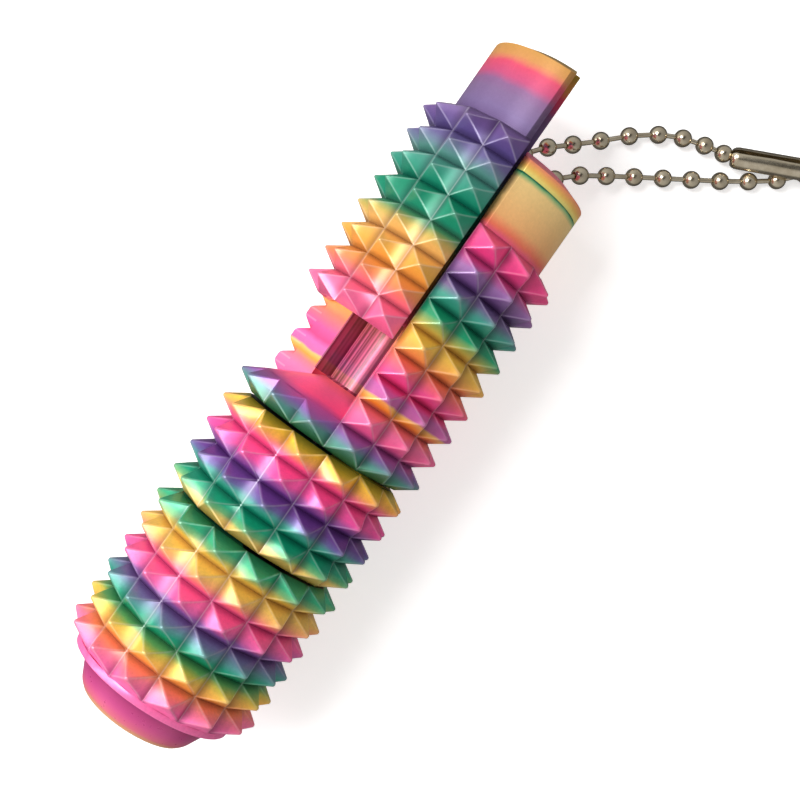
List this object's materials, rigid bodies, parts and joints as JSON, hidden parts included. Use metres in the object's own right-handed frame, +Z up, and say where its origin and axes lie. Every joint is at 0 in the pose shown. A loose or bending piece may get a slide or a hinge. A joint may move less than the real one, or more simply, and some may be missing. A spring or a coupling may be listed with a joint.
{
  "type": "twisty puzzle",
  "caption": "Spiky rainbow twist-and-slide puzzle cylinder on a ball chain: stacked sections twist about a long axis and a wedge segment slides out along a rail.",
  "frame": {"origin": "on the surface the puzzle lies on, under the middle of its box, the chain left out", "axes": "+X along the long axis towards the chain end, +Z up, +Y away from the side the chain lies on"},
  "size_m": [0.1252, 0.0694, 0.0266],
  "materials": {
    "silk_top": "silky gloss, layered, colour changes along the axis",
    "silk_cap": "silky gloss, layered",
    "silk_slide": "silky gloss, layered, colour changes along the axis",
    "silk_middle": "silky gloss, layered, colour changes along the axis",
    "silk_base": "silky gloss, layered, colour changes along the axis",
    "silk_knob": "silky gloss, layered",
    "chain_steel": "plated, polished"
  },
  "bodies": {
    "top": {"top_section": "silk_top", "top_cap": "silk_cap", "end_knob": "silk_knob", "chain_bight": "chain_steel", "chain_upper": "chain_steel", "chain_lower": "chain_steel", "chain_connector": "chain_steel"},
    "segment": {"slide_segment": "silk_slide"},
    "middle": {"middle_section": "silk_middle"},
    "base": {"base_section": "silk_base"}
  },
  "joints": [
    {"name": "middle_twist", "type": "hinge", "parent": "top", "child": "middle", "pos_m": [0, 0, 0.01332], "axis": [1, 0, 0], "continuous": true},
    {"name": "base_twist", "type": "hinge", "parent": "top", "child": "base", "pos_m": [0, 0, 0.01332], "axis": [1, 0, 0], "continuous": true},
    {"name": "segment_slide", "type": "slide", "parent": "top", "child": "segment", "axis": [1, 0, 0], "range_m": [-0.01095, 0.005]}
  ]
}
